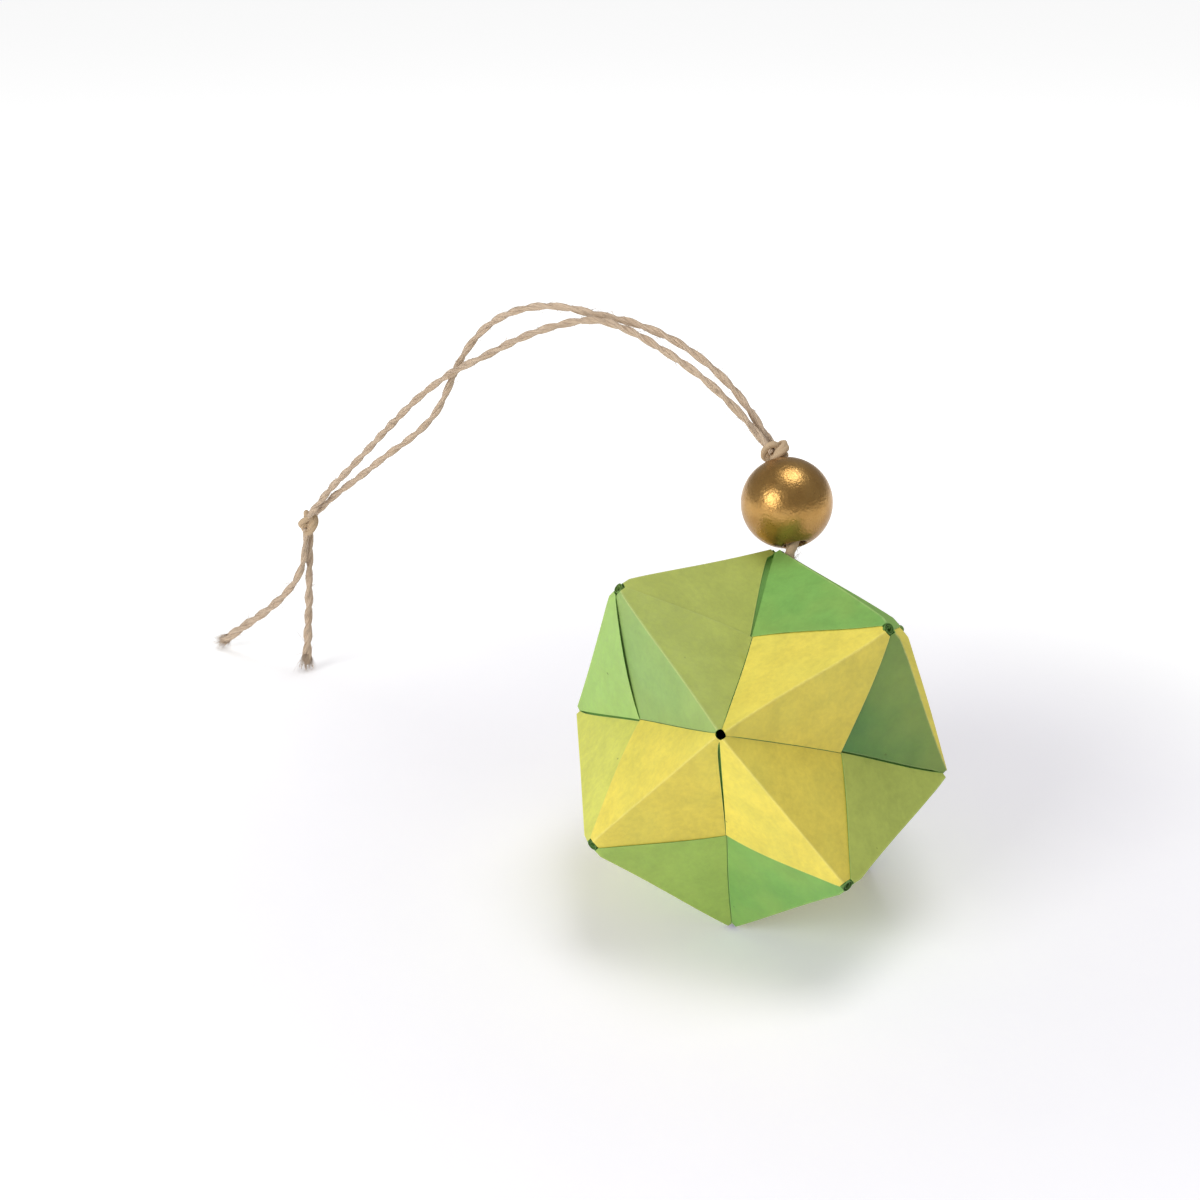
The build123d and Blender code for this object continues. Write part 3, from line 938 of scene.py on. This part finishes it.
def settle(place):
    """How far a place on the ball has settled, for all the sheets alike."""
    total = Vector((0, 0, 0))
    for way, offset in SETTLED:
        far = (place - CENTRE - way * EDGE_OUT).length
        total += offset * MM * math.exp(-0.5 * (far / SETTLED_REACH) ** 2)
    return total


def split_long_edges(mesh_tool, longest):
    """Cut edges until none is longer than the limit."""
    for _ in range(6):
        long_edges = [edge for edge in mesh_tool.edges if edge.calc_length() > longest]
        if not long_edges:
            return
        bmesh.ops.subdivide_edges(mesh_tool, edges=long_edges, cuts=1, use_grid_fill=False)
        bmesh.ops.triangulate(mesh_tool, faces=[face for face in mesh_tool.faces if len(face.verts) > 3])


def is_ridge(edge, back):
    """True on the outer fold between a sheet's flap and its tab."""
    if len(edge.link_faces) != 2 or edge.calc_length() < SHORTEST_RIDGE:
        return False
    ends = [back @ (vertex.co - CENTRE) for vertex in edge.verts]
    if sum(end.z for end in ends) < 0:
        ends = [swap_half(end) for end in ends]
    tops = [heights(end) for end in ends]
    return all(abs(a - FLAP_TOP) < PAPER and abs(b - TAB_TOP) < PAPER for a, b, _ in tops)


def folded_sheet_mesh(name, number, settings):
    """The sheet's layers and folds, softened, dyed and marked with the distance to its edges."""
    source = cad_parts[name].data
    tool = bmesh.new()
    tool.from_mesh(source)
    turn = sheet_turn(number)
    back = turn.transposed()
    bmesh.ops.remove_doubles(tool, verts=tool.verts, dist=MERGE_REACH)
    bmesh.ops.dissolve_limit(tool, angle_limit=FLAT_ANGLE, verts=tool.verts, edges=tool.edges)
    ridges = [edge for edge in tool.edges if is_ridge(edge, back)]
    bmesh.ops.bevel(tool, geom=ridges, offset=RIDGE_ROUND, segments=RIDGE_SEGMENTS, profile=0.5,
                    affect="EDGES", clamp_overlap=True)
    bmesh.ops.triangulate(tool, faces=tool.faces)
    split_long_edges(tool, LONGEST_EDGE)
    tool.normal_update()
    rng = random.Random(300 + number)
    lifts = (rng.uniform(0.05, 0.30) * MM, rng.uniform(0.05, 0.30) * MM)
    reaches = (rng.uniform(-0.4, 0.6) * MM, rng.uniform(-0.4, 0.6) * MM)
    dye = tool.loops.layers.float_color.new("dye")
    marks = tool.loops.layers.float_vector.new("edge_distance")
    tints = [Vector(getattr(settings, colour_name)) for colour_name in DYES[name]]
    for edge in tool.edges:
        edge.smooth = edge.calc_face_angle(0) < SHARP_ANGLE
    for face in tool.faces:
        middle = back @ (face.calc_center_median() - CENTRE)
        normal = back @ face.normal
        half = 0 if middle.z > 0 else 1
        if half:
            middle, normal = swap_half(middle), swap_half(normal)
        a, b, c = heights(middle)
        flap_tint, tab_tint = tints[2 * half], tints[2 * half + 1]
        on_flap = normal.dot(FACE_A) > 0.95 and a > FLAP_TOP - PAPER / 2
        on_tab = normal.dot(FACE_B) > 0.95 and b > TAB_TOP - PAPER / 2
        on_ridge = a > FLAP_TOP - 2 * PAPER and b > TAB_TOP - 2 * PAPER and normal.dot(FACE_A + FACE_B) > 0.9
        for loop in face.loops:
            place = back @ (loop.vert.co - CENTRE)
            if half:
                place = swap_half(place)
            la, lb, lc = heights(place)
            if on_flap and not on_ridge:
                blend = min(1.0, max(0.0, (lb + EDGE * 0.5) / (EDGE * 0.5)))
                tint = flap_tint.lerp(tab_tint, NEIGHBOUR_TINT * blend)
                near = (-lb + TAB_TOP, (lb - lc) / math.sqrt(2), 0)
            elif on_ridge:
                # The rounded ridge takes both dyes, 4% lighter: painted highlight on the fold, like the
                # rub's.
                tint = (flap_tint + tab_tint) * 0.52
                near = (0, 1, 0)
            elif on_tab:
                blend = min(1.0, max(0.0, -la / (EDGE * 0.5)))
                tint = tab_tint.lerp(flap_tint, NEIGHBOUR_TINT * (1 - blend))
                near = (-la + FLAP_TOP, (2 * la - lb + 2 * lc + 2 * EDGE) / 3, 0)
            else:
                tint = Vector(settings.leaf)
                near = (1, 1, 1)
            loop[dye] = (*tint, 1)
            loop[marks] = Vector(near)
    for vertex in tool.verts:
        place = back @ (vertex.co - CENTRE)
        half = 0 if place.z > 0 else 1
        if half:
            place = swap_half(place)
        place = shape_point(place, name, half, settings, lifts[half], reaches[half])
        if half:
            place = swap_half(place)
        vertex.co = CENTRE + turn @ place
        vertex.co += soft_sway(vertex.co, settings.unevenness) + settle(vertex.co)
        if vertex.co.z < 0:
            vertex.co.z = 0
    mesh = bpy.data.meshes.new(name + "_folded")
    tool.to_mesh(mesh)
    tool.free()
    return mesh


class PAPERBALL_OT_sheets(bpy.types.Operator):
    """Soften, dye and scuff the twelve folded sheets; two dyes carry painted shade, and the ridges and cut
    edges carry painted highlight
    """

    bl_idname = "paperball.sheets"
    bl_label = "Folded Sheets"

    def execute(self, context):
        settings = context.scene.paperball_paper
        paper = craft_paper(settings)
        for number, name in enumerate(SHEET_NODES, 1):
            mesh = folded_sheet_mesh(name, number, settings)
            piece = add_object(name + "_folded", mesh)
            mesh.materials.clear()
            mesh.materials.append(paper)
            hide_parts(name)
        return {"FINISHED"}


CURL_STEPS = 54
CURL_DEPTH = 2.2 * MM
CURL_SINK = 2.1 * MM      # its middle below the faces' common point
LEAST_TIP_HEIGHT = 4 * MM
# The curled tips' colour: leaf green darkened as painted shade, for the shadow inside the openings.
TIP_PAINTED_SHADE = 0.55          # share of the leaf colour


def curl_strip(place, axis, side, seed):
    """Points and faces of a paper tip rolled up inside the opening at a three-fold point."""
    rng = random.Random(seed)
    axis = axis.normalized()
    side = (side - axis * side.dot(axis)).normalized()
    up = axis.cross(side)
    turns = rng.uniform(1.9, 2.5)
    start = rng.uniform(0, math.tau)
    vertices, faces = [], []
    for k in range(CURL_STEPS + 1):
        share = k / CURL_STEPS
        turn = start + math.tau * turns * share
        radius = (0.38 + 0.92 * share) * MM * (1 + 0.10 * math.sin(turn * 2 + seed))
        out = side * math.cos(turn) + up * math.sin(turn)
        top = (0.25 * math.sin(turn - start) + 0.35 * share) * MM
        inner, outer = radius - PAPER / 2, radius + PAPER / 2
        for reach, height in ((inner, top), (outer, top), (outer, -CURL_DEPTH), (inner, -CURL_DEPTH)):
            vertices.append(place + out * reach + axis * height)
    for k in range(CURL_STEPS):
        for side_number in range(4):
            a = k * 4 + side_number
            b = k * 4 + (side_number + 1) % 4
            faces.append((a, b, b + 4, a + 4))
    faces.append((3, 2, 1, 0))
    last = CURL_STEPS * 4
    faces.append((last, last + 1, last + 2, last + 3))
    return vertices, faces


class PAPERBALL_OT_tips(bpy.types.Operator):
    """Roll the layers' tips up inside the openings at the three-fold points"""

    bl_idname = "paperball.tips"
    bl_label = "Curled Tips"

    def execute(self, context):
        settings = context.scene.paperball_paper
        vertices, faces = [], []
        turn = sheet_turn(1)
        corners = [Vector((x, y, z)) for x in (1, -1) for y in (1, -1) for z in (1, -1)]
        for seed, corner in enumerate(corners):
            axis = turn @ corner.normalized()
            place = CENTRE + axis * (APEX_OUT - CURL_SINK)
            if place.z < LEAST_TIP_HEIGHT:
                continue
            place += settle(place)
            more, added = curl_strip(place, axis, turn @ Vector((corner.x, 0, 0)), seed + 60)
            base = len(vertices)
            vertices += more
            faces += [tuple(base + index for index in face) for face in added]
        mesh = bpy.data.meshes.new("curled_tips")
        mesh.from_pydata([tuple(vertex) for vertex in vertices], [], faces)
        dye = mesh.attributes.new("dye", "FLOAT_COLOR", "CORNER")
        # Painted shade: the tips take leaf green darkened, as in the shadow inside the openings.
        shade = [part * TIP_PAINTED_SHADE for part in settings.leaf]
        dye.data.foreach_set("color", [value for _ in mesh.loops for value in (*shade, 1)])
        marks = mesh.attributes.new("edge_distance", "FLOAT_VECTOR", "CORNER")
        marks.data.foreach_set("vector", [1.0] * (3 * len(mesh.loops)))
        mesh.update()
        add_object("curled_tips", mesh, smooth=False)
        mesh.materials.append(bpy.data.materials["craft_paper"])
        return {"FINISHED"}


# ------------------------------------------------------------------ camera and stage

# The camera's angle, and its place from the ball's centre in lengths of the ball's radius.
CAMERA_AZIMUTH = math.radians(17.15)
CAMERA_ELEVATION = math.radians(23.33)
CAMERA_LEFT = 0.824
CAMERA_UP = 0.706
CAMERA_BACK = 9.04

KEY_PLACE = Vector((-0.55, -0.85, 0.50))
KEY_SIDE = 0.58
TOP_PLACE = Vector((0.12, 0.10, 1.0))
TOP_SIDE = 0.5
FLOOR_HALF_SIDE = 4.0
FLOOR_DROP = 0.02 * MM    # clear of what rests on it


def aim(lamp, target):
    """Point a lamp at a target."""
    lamp.rotation_euler = (target - lamp.location).to_track_quat("-Z", "Y").to_euler()


class PAPERBALL_OT_camera(bpy.types.Operator):
    """Set the camera a little above and to the right of the ball's front"""

    bl_idname = "paperball.camera"
    bl_label = "Camera"

    def execute(self, context):
        settings = context.scene.paperball_stage
        data = bpy.data.cameras.new("camera")
        data.sensor_width = 36
        data.lens = settings.focal_length
        data.clip_start = 0.01
        camera = bpy.data.objects.new("camera", data)
        context.scene.collection.objects.link(camera)
        level = math.cos(CAMERA_ELEVATION)
        view = -Vector((math.sin(CAMERA_AZIMUTH) * level, -math.cos(CAMERA_AZIMUTH) * level,
                        math.sin(CAMERA_ELEVATION)))
        right = view.cross(Vector((0, 0, 1))).normalized()
        high = right.cross(view)
        away = CAMERA_LEFT * right - CAMERA_UP * high + CAMERA_BACK * view
        camera.location = CENTRE - EDGE_OUT * away
        camera.rotation_euler = view.to_track_quat("-Z", "Y").to_euler()
        context.scene.camera = camera
        return {"FINISHED"}


def softbox(name, place, side, power):
    """A square soft light aimed at the ball."""
    data = bpy.data.lights.new(name, "AREA")
    data.shape = "RECTANGLE"
    data.size = side
    data.size_y = side
    data.energy = power
    lamp = bpy.data.objects.new(name, data)
    lamp.location = place
    aim(lamp, CENTRE)
    bpy.context.scene.collection.objects.link(lamp)


class PAPERBALL_OT_stage(bpy.types.Operator):
    """Lay the pale floor and hang the soft lights"""

    bl_idname = "paperball.stage"
    bl_label = "Stage"

    def execute(self, context):
        settings = context.scene.paperball_stage
        tool = bmesh.new()
        bmesh.ops.create_grid(tool, x_segments=8, y_segments=8, size=FLOOR_HALF_SIDE)
        mesh = bpy.data.meshes.new("floor")
        tool.to_mesh(mesh)
        tool.free()
        floor = bpy.data.objects.new("floor", mesh)
        floor.location.z = -FLOOR_DROP
        context.scene.collection.objects.link(floor)
        mesh.materials.append(pale_floor(settings))
        softbox("key", KEY_PLACE, KEY_SIDE, settings.key)
        softbox("top", TOP_PLACE, TOP_SIDE, settings.top)
        world = bpy.data.worlds.new("surround")
        world.use_nodes = True
        background = world.node_tree.nodes["Background"]
        background.inputs["Color"].default_value = WHITE
        background.inputs["Strength"].default_value = settings.sky
        context.scene.world = world
        context.scene.view_settings.view_transform = "Standard"
        return {"FINISHED"}


class PAPERBALL_PT_panel(bpy.types.Panel):
    """Settings and steps of the paper ball"""

    bl_idname = "PAPERBALL_PT_panel"
    bl_label = "Paper Ball"
    bl_space_type = "VIEW_3D"
    bl_region_type = "UI"
    bl_category = "Paper Ball"

    def draw(self, context):
        for group in ("paper", "bead", "twine", "stage"):
            settings = getattr(context.scene, "paperball_" + group)
            box = self.layout.box()
            for name in settings.__annotations__:
                box.prop(settings, name)
        for step in STEPS:
            self.layout.operator(step.bl_idname)


GROUPS = {
    "paperball_paper": PaperBallPaper,
    "paperball_bead": PaperBallBead,
    "paperball_twine": PaperBallTwine,
    "paperball_stage": PaperBallStage,
}
STEPS = (
    PAPERBALL_OT_camera,
    PAPERBALL_OT_twine,
    PAPERBALL_OT_knots,
    PAPERBALL_OT_bead,
    PAPERBALL_OT_sheets,
    PAPERBALL_OT_tips,
    PAPERBALL_OT_stage,
)
CLASSES = (*GROUPS.values(), *STEPS, PAPERBALL_PT_panel)


def register():
    """Register the settings, the steps and the panel."""
    for one in CLASSES:
        bpy.utils.register_class(one)
    for name, group in GROUPS.items():
        setattr(bpy.types.Scene, name, bpy.props.PointerProperty(type=group))


def unregister():
    """Take everything out again."""
    for name in GROUPS:
        delattr(bpy.types.Scene, name)
    for one in reversed(CLASSES):
        bpy.utils.unregister_class(one)


def main():
    """Make the whole piece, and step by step."""
    register()
    bpy.ops.paperball.camera()
    bpy.ops.paperball.twine()
    bpy.ops.paperball.knots()
    bpy.ops.paperball.bead()
    bpy.ops.paperball.sheets()
    bpy.ops.paperball.tips()
    bpy.ops.paperball.stage()


if __name__ == "__main__":
    main()
